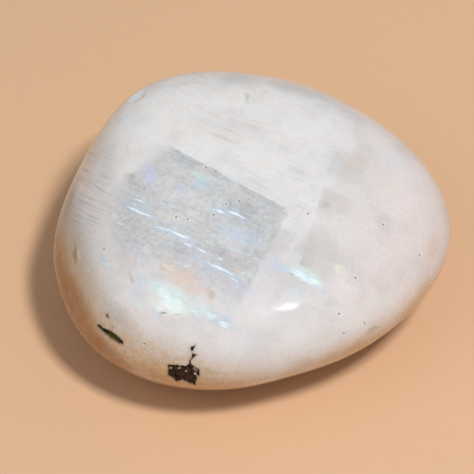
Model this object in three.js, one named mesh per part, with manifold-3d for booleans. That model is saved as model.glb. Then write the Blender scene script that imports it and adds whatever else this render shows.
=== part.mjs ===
// A tumbled moonstone pebble: one solid stone, lying on its foot.
//
// Millimetres, +Z up. The origin is the middle of the stone's footprint, on the surface that it lies on.
// Seen from the front, which is looking along +Y, +X is to the right.
import * as THREE from 'three';
import { mergeVertices } from 'three/addons/utils/BufferGeometryUtils.js';
import Module from 'manifold-3d';

// ---------------------------------------------------------------- driving dimensions

// The heart is the point inside the stone from which every reach and direction is taken.
const HEART_HEIGHT = 5.2;

// The flats that tumbling wore, as [bearing, tilt, reach]: the way each one faces, in degrees round from +X
// and up from level, and its distance from the heart.
const WORN_FLATS = [
  // round the waist, anticlockwise from the right end, leaning down at the back and up at the front
  [0, 0, 17.8],
  [24, 19, 15.1],
  [53, 34, 12.7],
  [90, 40, 13.1],
  [125, 36, 17.0],
  [156, 19, 14.9],
  [180, 0, 18.2],
  [206, -20, 16.6],
  [229, -32, 18.4],
  [266, -40, 12.9],
  [288, -39, 12.4],
  [313, -30, 12.7],
  [338, -14, 15.4],
  // crown and foot
  [0, 90, 7.7],
  [0, -90, 5.5],
  // shoulders below the crown, along the front and left
  [275, 62, 10.2],
  [270, 35, 13.3],
  [318, 45, 12.1],
  [222, 40, 13.5],
  [180, 45, 12.8],
  // blunt nose along the front, and the upright sides at the back
  [246, -8, 16.8],
  [290, -6, 14.6],
  [90, -12, 15.2],
  [40, -14, 14.6],
  [135, -12, 16.0],
  // underside, rounding in to the foot
  [0, -55, 9.6],
  [60, -58, 9.2],
  [120, -58, 9.4],
  [180, -55, 10.0],
  [235, -62, 10.2],
  [300, -62, 8.6],
];
const EDGE_TIGHTNESS = 9; // the higher, the sharper the worn edge between two flats
const BODY_DETAIL = 17; // how often each edge of the starting icosahedron is divided

// Shallow swells that tumbling leaves in the polish: [bearing and tilt of their run, wavelength, height].
const SWELLS = [
  [20, 15, 8.6, 0.035],
  [105, -10, 7.4, 0.03],
  [245, 40, 9.8, 0.04],
];

// Pits in the front, where a dark mineral is grown into the stone. Each lies where the given direction from
// the heart meets the skin. Its outline is seen from outside: x to the right, y up along the skin.
const BLOCK = { bearing: 249.8, tilt: 2.5 };
const BLOCK_OUTLINE = [
  [-1.27, 0.77],
  [-0.59, 0.92],
  [0.03, 0.93],
  [0.39, 1.21],
  [0.68, 1.07],
  [1.1, 0.82],
  [1.16, 0.27],
  [0.88, -0.3],
  [0.81, -1.0],
  [0.37, -0.9],
  [0.13, -0.63],
  [-0.2, -0.55],
  [-0.58, -0.88],
  [-0.98, -0.42],
  [-1.25, -0.3],
];
const BLOCK_DEPTH = 0.22;
// Hollows where grains of the block broke away, below the rest of its floor.
const BLOCK_HOLLOWS = [
  { depth: 0.46, outline: [[-1.12, 0.62], [-0.55, 0.76], [-0.42, 0.1], [-0.85, -0.22], [-1.1, -0.16]] },
  { depth: 0.4, outline: [[-0.2, 0.25], [0.5, 0.6], [0.75, -0.1], [0.55, -0.75], [-0.12, -0.4]] },
  { depth: 0.52, outline: [[0.7, 0.82], [1.0, 0.68], [1.03, 0.25], [0.88, -0.05]] },
];
const TAIL = { bearing: 250.9, tilt: 10.6 };
const TAIL_GRAINS = [
  [[-0.12, -1], [0.04, -0.96], [0.02, -0.6], [0.4, -0.16], [0.06, -0.03], [0.04, -0.4], [-0.09, -0.66]],
  [[-0.12, 0.34], [-0.07, 0.17], [0.03, 0.07], [0.15, 0.2], [0.3, 0.66], [0.13, 0.47], [-0.02, 0.47]],
];
const TAIL_DEPTH = 0.2;
const NEEDLE = { bearing: 225.9, tilt: 6.6 };
const NEEDLE_OUTLINE = [
  [-1.39, 0.05],
  [-1.11, 0.17],
  [-0.7, 0.15],
  [-0.03, 0.3],
  [0.54, 0.29],
  [1.15, 0.16],
  [1.26, -0.12],
  [0.91, -0.26],
  [-0.22, -0.24],
  [-0.72, -0.18],
  [-1.21, -0.11],
];
const NEEDLE_DEPTH = 0.25;

// A shell-shaped chip off the rim at the back left, scooped by a ball.
const CHIP = { bearing: 136, tilt: 28, ballRadius: 3.2, depth: 0.16 };

const CUTTER_STAND_OUT = 1.5; // how far a cutter stands out of the skin
const CUTTER_BALL_DETAIL = 14;

// ---------------------------------------------------------------- the worn skin

/** The unit vector with a bearing and a tilt in degrees. */
function direction(bearing, tilt) {
  const around = THREE.MathUtils.degToRad(bearing);
  const up = THREE.MathUtils.degToRad(tilt);
  const level = Math.cos(up);
  return new THREE.Vector3(level * Math.cos(around), level * Math.sin(around), Math.sin(up));
}

const flats = WORN_FLATS.map(([bearing, tilt, reach]) => ({ facing: direction(bearing, tilt), reach }));
const swells = SWELLS.map(([bearing, tilt, wavelength, height]) => ({
  wave: direction(bearing, tilt).multiplyScalar((2 * Math.PI) / wavelength),
  height,
}));

/** How far the skin is from the heart along the unit vector u: the flats, blended into each other. */
function skinReach(u) {
  let crowding = 0;
  for (const flat of flats) {
    crowding += Math.max(0, flat.facing.dot(u) / flat.reach) ** EDGE_TIGHTNESS;
  }
  let reach = crowding ** (-1 / EDGE_TIGHTNESS);
  for (const swell of swells) {
    reach += swell.height * Math.sin(swell.wave.dot(u) * reach);
  }
  return reach;
}

/** The way that the blended flats face along the unit vector u, leaving out the swells. */
function skinFacing(u) {
  const facing = new THREE.Vector3();
  for (const flat of flats) {
    const weight = Math.max(0, flat.facing.dot(u) / flat.reach) ** (EDGE_TIGHTNESS - 1);
    facing.addScaledVector(flat.facing, weight / flat.reach);
  }
  return facing.normalize();
}

/** A closed geometry of the whole skin, or of the same form a given depth inside it. */
function skinGeometry(inset = 0) {
  const geometry = new THREE.IcosahedronGeometry(1, BODY_DETAIL);
  const positions = geometry.getAttribute('position');
  const u = new THREE.Vector3();
  for (let i = 0; i < positions.count; i += 1) {
    u.fromBufferAttribute(positions, i).normalize();
    u.multiplyScalar(skinReach(u) - inset);
    positions.setXYZ(i, u.x, u.y, u.z + HEART_HEIGHT);
  }
  return geometry;
}

// ---------------------------------------------------------------- cutting

const wasm = await Module();
wasm.setup();

/** The solid of a closed three.js geometry. */
function toSolid(geometry) {
  const bare = geometry.clone();
  bare.deleteAttribute('normal');
  bare.deleteAttribute('uv');
  const merged = mergeVertices(bare, 1e-5);
  return new wasm.Manifold(
    new wasm.Mesh({
      numProp: 3,
      vertProperties: new Float32Array(merged.getAttribute('position').array),
      triVerts: new Uint32Array(merged.getIndex().array),
    }),
  );
}

/** The three.js geometry of a solid. */
function toGeometry(solid) {
  const mesh = solid.getMesh();
  const geometry = new THREE.BufferGeometry();
  geometry.setAttribute('position', new THREE.BufferAttribute(new Float32Array(mesh.vertProperties), 3));
  geometry.setIndex(new THREE.BufferAttribute(new Uint32Array(mesh.triVerts), 1));
  geometry.computeVertexNormals();
  return geometry;
}

/** The frame of a place on the skin: x to the right, y up along the skin, z straight out of it. */
function placeOnSkin({ bearing, tilt }) {
  const u = direction(bearing, tilt);
  const out = skinFacing(u);
  const right = new THREE.Vector3(0, 0, 1).cross(out).normalize();
  const up = new THREE.Vector3().crossVectors(out, right);
  const origin = u.clone().multiplyScalar(skinReach(u)).add(new THREE.Vector3(0, 0, HEART_HEIGHT));
  return new THREE.Matrix4().makeBasis(right, up, out).setPosition(origin);
}

/** A cutter for a pit with an outline on the skin, whose floor follows the skin at a given depth. */
function pitCutter(place, outline, depth) {
  const shape = new THREE.Shape(outline.map(([x, y]) => new THREE.Vector2(x, y)));
  const below = depth + CUTTER_STAND_OUT;
  const prism = new THREE.ExtrudeGeometry(shape, { depth: below + CUTTER_STAND_OUT, bevelEnabled: false });
  prism.translate(0, 0, -below);
  prism.applyMatrix4(placeOnSkin(place));
  return toSolid(prism).subtract(toSolid(skinGeometry(depth)));
}

/** A ball that dips a given depth into the skin. */
function chipCutter(chip) {
  const ball = new THREE.IcosahedronGeometry(chip.ballRadius, CUTTER_BALL_DETAIL);
  ball.translate(0, 0, chip.ballRadius - chip.depth);
  ball.applyMatrix4(placeOnSkin(chip));
  return toSolid(ball);
}

/** The block of everything below the surface that the stone lies on. */
function groundCutter() {
  const side = 80;
  const ground = new THREE.BoxGeometry(side, side, side);
  ground.translate(0, 0, -side / 2);
  return toSolid(ground);
}

// ---------------------------------------------------------------- the stone

function moonstoneSolid() {
  const cutters = [
    groundCutter(),
    chipCutter(CHIP),
    pitCutter(BLOCK, BLOCK_OUTLINE, BLOCK_DEPTH),
    pitCutter(NEEDLE, NEEDLE_OUTLINE, NEEDLE_DEPTH),
  ];
  for (const hollow of BLOCK_HOLLOWS) {
    cutters.push(pitCutter(BLOCK, hollow.outline, hollow.depth));
  }
  for (const outline of TAIL_GRAINS) {
    cutters.push(pitCutter(TAIL, outline, TAIL_DEPTH));
  }
  return cutters.reduce((stone, cutter) => stone.subtract(cutter), toSolid(skinGeometry()));
}

/** The pebble, moved so that the middle of its footprint is the origin. */
function makeMoonstone() {
  const geometry = toGeometry(moonstoneSolid());
  geometry.computeBoundingBox();
  const middle = geometry.boundingBox.getCenter(new THREE.Vector3());
  geometry.translate(-middle.x, -middle.y, 0);
  const polished = new THREE.MeshStandardMaterial({ color: '#dcd9d4', roughness: 0.28, metalness: 0 });
  const mesh = new THREE.Mesh(geometry, polished);
  mesh.name = 'moonstone';
  return mesh;
}

const part = new THREE.Group();
part.add(makeMoonstone());

export default part;
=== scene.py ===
"""The looks of a tumbled moonstone pebble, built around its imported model.

Lengths are in millimetres until a mesh, light or camera is made, which Blender takes in metres. Directions are
given as a bearing, in degrees round from +X, and a tilt, in degrees up from level. Places on the stone's face
are given in the pixels of the square frame that the camera sees.
"""
import math
from collections import namedtuple

import bmesh
import bpy
import numpy as np
from mathutils import Matrix, Vector, noise


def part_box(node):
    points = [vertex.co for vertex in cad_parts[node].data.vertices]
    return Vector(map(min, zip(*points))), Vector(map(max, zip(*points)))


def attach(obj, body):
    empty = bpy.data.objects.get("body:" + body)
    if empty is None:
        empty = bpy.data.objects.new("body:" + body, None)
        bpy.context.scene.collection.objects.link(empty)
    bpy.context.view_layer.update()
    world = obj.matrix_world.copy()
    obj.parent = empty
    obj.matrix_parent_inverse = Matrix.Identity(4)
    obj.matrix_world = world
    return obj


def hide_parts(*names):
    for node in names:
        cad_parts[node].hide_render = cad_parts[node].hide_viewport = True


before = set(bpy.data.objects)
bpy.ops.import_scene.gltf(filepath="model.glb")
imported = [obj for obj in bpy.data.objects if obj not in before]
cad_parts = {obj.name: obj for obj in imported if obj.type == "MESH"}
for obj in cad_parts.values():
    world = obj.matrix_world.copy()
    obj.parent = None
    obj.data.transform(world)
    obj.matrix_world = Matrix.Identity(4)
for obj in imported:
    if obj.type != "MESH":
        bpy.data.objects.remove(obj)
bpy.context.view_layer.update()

bl_info = {
    "name": "Tumbled Moonstone",
    "version": (1, 0, 0),
    "blender": (4, 5, 0),
    "location": "View3D > Sidebar > Moonstone",
    "description": "Dresses a tumbled moonstone pebble and lights it",
    "category": "Add Mesh",
}

NODE = "moonstone"
METRES_PER_MM = 0.001

# ------------------------------------------------------------------ the worn skin, as in the solid model

HEART_HEIGHT = 5.2
# Flats that tumbling wore: bearing, tilt and distance from the stone's heart.
WORN_FLATS = (
    # round the waist
    (0, 0, 17.8),
    (24, 19, 15.1),
    (53, 34, 12.7),
    (90, 40, 13.1),
    (125, 36, 17.0),
    (156, 19, 14.9),
    (180, 0, 18.2),
    (206, -20, 16.6),
    (229, -32, 18.4),
    (266, -40, 12.9),
    (288, -39, 12.4),
    (313, -30, 12.7),
    (338, -14, 15.4),
    # crown and foot
    (0, 90, 7.7),
    (0, -90, 5.5),
    # shoulders below the crown
    (275, 62, 10.2),
    (270, 35, 13.3),
    (318, 45, 12.1),
    (222, 40, 13.5),
    (180, 45, 12.8),
    # blunt nose and upright back
    (246, -8, 16.8),
    (290, -6, 14.6),
    (90, -12, 15.2),
    (40, -14, 14.6),
    (135, -12, 16.0),
    # underside
    (0, -55, 9.6),
    (60, -58, 9.2),
    (120, -58, 9.4),
    (180, -55, 10.0),
    (235, -62, 10.2),
    (300, -62, 8.6),
)
EDGE_TIGHTNESS = 9
# Shallow swells in the polish: bearing and tilt of their run, wavelength, height.
SWELLS = (
    (20, 15, 8.6, 0.035),
    (105, -10, 7.4, 0.03),
    (245, 40, 9.8, 0.04),
)

# Pits where a dark mineral is grown in. An outline is seen from outside: x to the right, y up along the skin.
# A broken pit has a floor of flat cleavage faces, a few tenths of a millimetre across.
Pit = namedtuple("Pit", "place outline depth broken")
BLOCK = Pit(
    place=(249.8, 2.5),
    outline=(
        (-1.27, 0.77),
        (-0.59, 0.92),
        (0.03, 0.93),
        (0.39, 1.21),
        (0.68, 1.07),
        (1.1, 0.82),
        (1.16, 0.27),
        (0.88, -0.3),
        (0.81, -1.0),
        (0.37, -0.9),
        (0.13, -0.63),
        (-0.2, -0.55),
        (-0.58, -0.88),
        (-0.98, -0.42),
        (-1.25, -0.3),
    ),
    depth=0.3,
    broken=True,
)
STEM = Pit(
    place=(250.9, 10.6),
    outline=(
        (-0.12, -1.0),
        (0.04, -0.96),
        (0.02, -0.6),
        (0.4, -0.16),
        (0.06, -0.03),
        (0.04, -0.4),
        (-0.09, -0.66),
    ),
    depth=0.2,
    broken=False,
)
BEAD = Pit(
    place=(250.9, 10.6),
    outline=((-0.12, 0.34), (-0.07, 0.17), (0.03, 0.07), (0.15, 0.2), (0.3, 0.66), (0.13, 0.47), (-0.02, 0.47)),
    depth=0.2,
    broken=False,
)
NEEDLE = Pit(
    place=(225.9, 6.6),
    outline=(
        (-1.39, 0.05),
        (-1.11, 0.17),
        (-0.7, 0.15),
        (-0.03, 0.3),
        (0.54, 0.29),
        (1.15, 0.16),
        (1.26, -0.12),
        (0.91, -0.26),
        (-0.22, -0.24),
        (-0.72, -0.18),
        (-1.21, -0.11),
    ),
    depth=0.25,
    broken=False,
)
SLIVER = Pit(
    place=(222.5, 10.6),
    outline=((-0.14, 0.02), (-0.04, 0.1), (0.08, 0.07), (0.22, -0.05), (0.07, -0.08), (-0.03, -0.06)),
    depth=0.08,
    broken=False,
)
PITS = (BLOCK, STEM, BEAD, NEEDLE, SLIVER)
PIT_WALL = 0.07  # how far in from its rim a pit reaches its full depth
RAGGED_SIZE = 0.22  # the bites in a mineral's rim: their size along it, and how deep they are
RAGGED_DEPTH = 0.05
NOISE_SEED = 1  # with none set, the noise of the rims is different in each run
CLEAVAGE_SIZE = 0.34  # the flat faces on a broken floor: their width, slope and step
CLEAVAGE_SLOPE = 0.9
CLEAVAGE_STEP = 0.16
CHANCE_STEP = 7  # how far apart the chances of two faces are taken, so that they don't follow each other
PORE_RADIUS = 0.1
PORE_DEPTH = 0.07
PORE_STEEPNESS = 1.6

# A shell-shaped chip off the rim, scooped by a ball.
CHIP_PLACE = (136, 28)
CHIP_BALL_RADIUS = 3.2
CHIP_DEPTH = 0.16

# The mesh: a sphere divided evenly, then again near rims and pores until its edges are as short as they need be.
SPHERE_DETAIL = 7
FINEST_EDGE = 0.032
EDGE_GROWTH = 0.25  # how fast the edges may lengthen away from a rim
FLOOR_CLOSENESS = 0.1  # a pit's floor is meshed as if it were this near its rim
SPLIT_RATIO = 1.4
SPLIT_ROUNDS = 6
FAR_AWAY = 9.0
NEAR_PIT = 3.0

# ------------------------------------------------------------------ camera

FRAME_PIXELS = 474
CAMERA_TARGET = Vector((-1.135, -0.28, 5.2))
CAMERA_ELEVATION = 50
CAMERA_DISTANCE = 280.0
NEAREST_SEEN = 10.0
FRAME_WIDTH = 35.9  # what the frame takes in at the target
SENSOR_WIDTH = 36.0
PIXEL = FRAME_WIDTH / FRAME_PIXELS
SIGHT_MARGIN = 25.0  # the stone lies within this distance of the target
SIGHT_STEP = 0.25
SIGHT_HALVINGS = 16

# ------------------------------------------------------------------ markings, in frame pixels

# A mark is a flat lens in the stone: its two ends, its half width in pixels, and how strongly it shows.
Mark = namedtuple("Mark", "start end half_width strength")

# A crystal that the stone is grown from. Each of its flat sides is given by two pixels that it passes through and
# by how soft it looks, in mm; the crystal lies to the left of the way from the first to the second. The share is
# how strongly its tint shows, and the depths are where it is so clear that the stone's inside darkens it.
Crystal = namedtuple("Crystal", "sides share depths", defaults=((),))
CLEAR_WINDOW = Crystal(
    sides=(
        ((288, 210), (171, 146), 0.14),
        ((171, 146), (118, 184), 1.1),
        ((118, 184), (108, 250), 2.4),
        ((98, 250), (236, 300), 3.4),
        ((260, 266), (288, 211), 0.45),
    ),
    share=0.64,
    depths=(
        Mark((171, 151), (200, 165), 10, 0.5),
        Mark((194, 160), (236, 182.5), 5.5, 0.5),
        Mark((232, 181), (266, 200), 8, 0.46),
        Mark((262, 199), (284, 211.5), 6, 0.34),
        Mark((222, 200), (272, 228), 16, 0.5),
        Mark((246, 236), (268, 240), 10, 0.5),
        Mark((241, 248), (257, 255), 8, 0.6),
        Mark((129, 178), (146, 190), 7.5, 0.5),
        Mark((116, 198), (140, 208), 8, 0.26),
        Mark((118, 220), (150, 228), 8, 0.2),
        Mark((166, 242), (194, 254), 8, 0.4),
        Mark((204, 246), (246, 264), 9, 0.5),
    ),
)
GREY_BLOCK = Crystal(
    sides=(
        ((341, 131), (318, 205), 0.25),
        ((318, 205), (286, 254), 0.9),
        ((276, 286), (345, 272), 1.6),
        ((372, 250), (396, 170), 3.0),
        ((392, 150), (338, 128), 1.6),
    ),
    share=0.36,
    depths=(
        Mark((319, 201), (332, 207), 5, 0.3),
        Mark((286, 258), (312, 264), 6, 0.32),
        Mark((322, 274), (330, 294), 4, 0.2),
    ),
)
BRIGHT_BLOCK = Crystal(
    sides=(
        ((292, 230), (338, 131), 0.8),
        ((338, 131), (300, 92), 2.4),
        ((90, 130), (110, 240), 3.0),
        ((40, 165), (290, 280), 4.0),
        ((250, 262), (300, 236), 1.4),
    ),
    share=0.9,
)
ROSY_END = Crystal(sides=(((365, 90), (345, 400), 7.0),), share=0.7)
# Greyer patches with straight sides, most of them within the grey block.
GREY_PATCHES = (
    Crystal(
        sides=(
            ((336, 148), (325, 178), 0.25),
            ((366, 158), (335, 151), 0.5),
            ((324, 175), (362, 181), 1.2),
            ((364, 185), (368, 150), 1.2),
        ),
        share=0.24,
    ),
    Crystal(
        sides=(
            ((324.5, 185), (315, 213), 0.25),
            ((352, 201), (324, 186), 0.35),
            ((314, 212), (346, 218), 1.0),
            ((350, 215), (354, 195), 1.2),
        ),
        share=0.27,
    ),
    Crystal(
        sides=(
            ((307, 216), (298, 246), 0.9),
            ((322, 230), (300, 224), 0.8),
            ((294, 250), (322, 252), 0.9),
            ((319, 250), (322, 222), 0.9),
        ),
        share=0.22,
    ),
    Crystal(
        sides=(
            ((320, 243), (258, 252), 2.4),
            ((248, 240), (248, 300), 3.0),
            ((240, 291), (330, 296), 2.8),
            ((332, 300), (340, 240), 1.6),
        ),
        share=0.28,
    ),
)
# Painted shade with warm bounce light on the lower left flank, and painted warm bounce light on the side beside
# it:
# all that lies to the left of any of these planes, each given as a crystal's side is.
SHADED_FLANK = (((75, 300), (63, 240), 1.3), ((90, 313), (75, 280), 1.0), ((121, 358), (86, 317), 0.8))
BOUNCE_LIT_SIDE = (((104, 306), (72, 240), 3.6), ((142, 338), (104, 306), 3.6), ((240, 380), (142, 338), 3.6))
FLANK_SHADE_SHARE = 0.66
SIDE_BOUNCE_SHARE = 0.85
SPECK_SHARE = 0.75  # how dark the specks of dirt on the bounce-lit side are
# Painted warm bounce light near the ground: from what height down it starts and is full, and how strong.
SKIRT_TOP = 8.2
SKIRT_FULL = 4.6
SKIRT_BOUNCE_SHARE = 0.5
# The left rim, darkened with painted shade.
SHADED_LEFT_RIM = (((94, 290), (74, 205), 2.2),)
RIM_SHADE_SHARE = 0.85
# Where the thin twin layers show as hairlines, how strongly they do on the crown and elsewhere against the left
# side, how long they are in mm, and two pixels along one of them.
TWINNED_SIDE = (((96, 330), (120, 90), 2.4), ((40, 238), (150, 262), 1.6), ((190, 190), (40, 120), 4.0))
TWINNED_CROWN = (((380, 205), (250, 90), 2.5), ((170, 110), (280, 210), 2.5), ((312, 215), (338, 130), 4.0))
CROWN_TWINS = 0.36
OTHER_TWINS = 0.1
TWIN_LENGTH = 6.0
TWIN_STEPS = 1.4  # how many steps of noise there are in a twin spacing
LIGHT_CONTRAST = 0.8  # how strongly the light ones show
LIGHT_TWINS = (0.48, 0.36)  # the noise where they start and are full
DARK_TWINS = (0.5, 0.64)
TWIN_LINE = ((80, 200), (125, 221))

# A mottle is noise in the stone: its tint, how large its patches are in mm, the noise where they start and where
# they are full, and how strongly they show. One that is drawn out along the twin sheets also has their spacing and
# the length along them that make one step of the noise.
Mottle = namedtuple("Mottle", "tint size start full most sheets", defaults=(None,))
WINDOW_MOTTLE = (
    Mottle("milk", 1.3, 0.48, 0.66, 0.5),
    Mottle("deep", 0.34, 0.44, 0.66, 0.32),
    Mottle("deep", 0.12, 0.5, 0.68, 0.28),
    Mottle("deep", 1.2, 0.5, 0.72, 0.25, (0.13, 1.2)),
    Mottle("bright", 0.8, 0.54, 0.72, 0.38, (0.13, 1.2)),
)
MILK_MOTTLE = (
    Mottle("smoke", 2.5, 0.45, 0.75, 0.26),
    Mottle("rose", 1.2, 0.5, 0.75, 0.25),
    Mottle("smoke", 0.3, 0.52, 0.75, 0.2),
    Mottle("smoke", 0.1, 0.54, 0.8, 0.18),
    Mottle("bright", 0.8, 0.5, 0.75, 0.2, (0.2, 3.0)),
)

NOISE_SPAN = (0.3, 0.7)  # what nearly all of the noise lies between
# Patches of noise: their size in mm, the noise where they start and where they are full, and how strongly they
# show, which is fully where it is left out.
CLEAR_PATCHES = (1.0, 0.3, 0.68)
TWIN_BANDS = (2.6, 0.36, 0.6)
MILK_FLECKS = (0.26, 0.55, 0.75, 0.4)
SKIRT_BLOTCHES = (1.6, 0.3, 0.6)
SIDE_BLOTCHES = (0.6, 0.0, 0.6)
FLANK_BLOTCHES = (0.8, -0.3, 0.6)
DIRT_SPECKS = (0.12, 0.54, 0.68)
DIRTY_AREAS = (0.7, 0.4, 0.62)
RUST_GRAINS = (0.22, 0.46, 0.7, 0.4)
DULL_PATCHES = (2.0, 0.3, 0.7, 0.07)  # rougher by up to 0.07
RIPPLES = (0.9, 0.2, 0.8)
GRIT = (0.17, 0.2, 0.8)
# Noise that is drawn out along the twin sheets: the spacing and the length along them that make one step, in mm.
CLEAR_SHEETS = (0.3, 0.8)
FLASH_SHEETS = (0.45, 1.0)
FLAKE_SHEETS = (0.2, 0.5)
SHIMMER_SHEETS = (0.13, 0.6)
HAIR_SHEETS = (0.1, 0.7)
# Noise that moves things from where they would be: its size and reach in mm, and its detail where it is plainer.
CRYSTAL_WAVER = (0.7, 0.32)
FLECK_WAVER = (0.5, 0.4)
VEIL_WAVER = (1.1, 1.1, 1.0)
BRUISE_WAVER = (0.2, 0.8)

CLEAR_LEAST = 0.5  # how much of a clear place's darkness is there everywhere, and how much the noise adds
CLEAR_ADDED = 0.8
DEEP = 2.5  # how far into the stone the marks of veils and of cracks reach, in mm
SHALLOW = 0.6
MARK_HALO = 2.5  # how many times as wide as a mark its halo is
SOFT_SPREAD = 1.5  # a soft mark fades out this much wider than it is given
SOFT_FADE = 0.85  # the share of its reach over which it fades
FLASH_START = 0.52  # the noise where the faint flashes in the window start and are full, and how strong they are
FLASH_FULL = 0.7
FLASH_SHARE = 0.2
SHIMMER_SHARE = 0.4  # how strongly the flash is streaked with blue and silver, and over how much of the noise
SHIMMER_RISE = 0.14
FAINTEST_FLAKE = 0.4
FRAY = 0.4  # how much deeper or shallower noise makes a crack, as a share of its own depth
TORN_SOFTNESS = 0.35
# How deep in a mark a tint starts and is full, and how strongly it then shows.
TORN_PARTING = (0.0, 0.6, 0.7)
SPLIT_CRACK = (-0.15, 0.65, 0.95)
BRUISE_HOLLOW = (0.2, 0.6, 0.6)
# The blue glow of a crack reaches into its halo, where the level is below 0.
GLOW_START = -1.2
GLOW_FULL = 0.3
CRACK_GLOW = (0.0, 1.0, 0.6)
# A bruise's bright ring: the level that it follows, how far from that it ends and is full, and how strong it is.
BRUISE_RIM = 0.3
BRUISE_RING = (0.25, 0.0, 0.7)
OLIVE_FULL = 0.4
GRAIN_FULL = 0.25
IRON_SHARE = 0.3  # how brown the feldspar is at the dark mineral's rim, and how far out that reaches in mm
IRON_REACH = 0.24
# The mineral, a pore's dirt and the white ring around a pore: how far from the mineral's outline or the pore's
# middle each is still full and has faded out, in mm, and how strongly it shows.
MINERAL_RIM = (-0.035, 0.02, 1.0)
PORE_DIRT = (0.045, 0.105, 0.65)
PORE_RING = (0.12, 0.24, 0.4)
MINERAL_ROUGHNESS = 0.5
RIPPLE_HEIGHT = 0.006  # how high the polish's fine ripple and the mineral's grit are, in mm
GRIT_HEIGHT = 0.12
FELDSPAR_IOR = 1.525
INNER_TINT = (1.0, 0.92, 0.85)  # how far red, green and blue light travel in the stone, against its light depth

SILVER_CRACKS_AND_CHIP_GLINT = (
    Mark((127.5, 207), (151, 216.5), 1.1, 1),
    Mark((134.5, 198.6), (145, 203.2), 1, 0.8),
    Mark((130, 202.6), (139, 206.4), 0.8, 0.35),
    Mark((154, 226), (174, 232.5), 1.1, 0.9),
    Mark((169, 230.2), (190, 239.4), 1.2, 1),
    Mark((182.5, 242.5), (192.5, 246.7), 1, 0.9),
    Mark((195, 247.3), (207.5, 253.2), 0.9, 0.8),
    Mark((205.5, 262), (234, 275.2), 1.2, 1),
    Mark((216, 257), (224, 260.4), 0.9, 0.6),
    Mark((227.6, 276), (240, 283.4), 1, 0.6),
    Mark((212.5, 208.2), (226, 214.2), 1.2, 0.9),
    Mark((228, 210.6), (244, 218.2), 1.2, 0.95),
    Mark((152, 201.4), (182, 210.6), 0.8, 0.4),
    Mark((214, 222), (230, 230), 0.8, 0.3),
    Mark((230, 246), (245, 253), 0.9, 0.35),
    Mark((136, 244), (150, 256), 0.9, 0.35),
    Mark((214, 168.2), (258, 191), 0.8, 0.16),
    Mark((290, 271), (309, 280), 1.2, 0.9),
    Mark((300, 277), (322, 290), 1.1, 0.8),
    Mark((298, 270), (316, 280), 0.8, 0.4),
    Mark((336.5, 268.4), (344.5, 271), 1.1, 0.5),
    Mark((85, 267), (86, 271), 0.9, 0.4),
    Mark((88, 268), (90, 272), 0.9, 0.4),
    Mark((107, 273), (112, 293), 0.9, 0.35),
    Mark((112, 294), (118, 286), 0.8, 0.25),
    Mark((214, 322.6), (230, 328.4), 1.6, 0.8),
    # The chip's facet: a painted highlight.
    Mark((131, 101), (142, 92.5), 2, 1),
    Mark((421, 236), (424.5, 231), 0.9, 0.2),
    Mark((423, 238), (424.5, 246), 0.8, 0.15),
)
DARK_PARTINGS = (
    Mark((171, 147.5), (186, 154), 1.4, 0.5),
    Mark((186, 154.6), (240, 183), 0.9, 0.35),
    Mark((240, 183), (288, 210.6), 0.8, 0.5),
    Mark((286, 271.4), (297, 277), 1.1, 0.8),
    Mark((295, 277.4), (313, 290.4), 0.9, 0.5),
    Mark((159, 312.6), (168, 313.8), 1.3, 1),
    Mark((170, 314.4), (188, 313.6), 1.2, 0.7),
    Mark((245.4, 91.5), (247.2, 95.9), 1.1, 0.4),
    Mark((340.5, 340), (343, 332), 1, 0.5),
    Mark((422, 238), (423.6, 232), 0.9, 0.45),
    Mark((427, 236), (432, 233), 0.8, 0.2),
    Mark((129, 105), (141, 96), 1.2, 0.4),
    Mark((212, 302), (214, 293), 1.1, 0.6),
    Mark((336, 266.4), (340, 265), 0.8, 0.4),
    Mark((133.5, 276), (131, 286), 0.8, 0.3),
)
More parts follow.
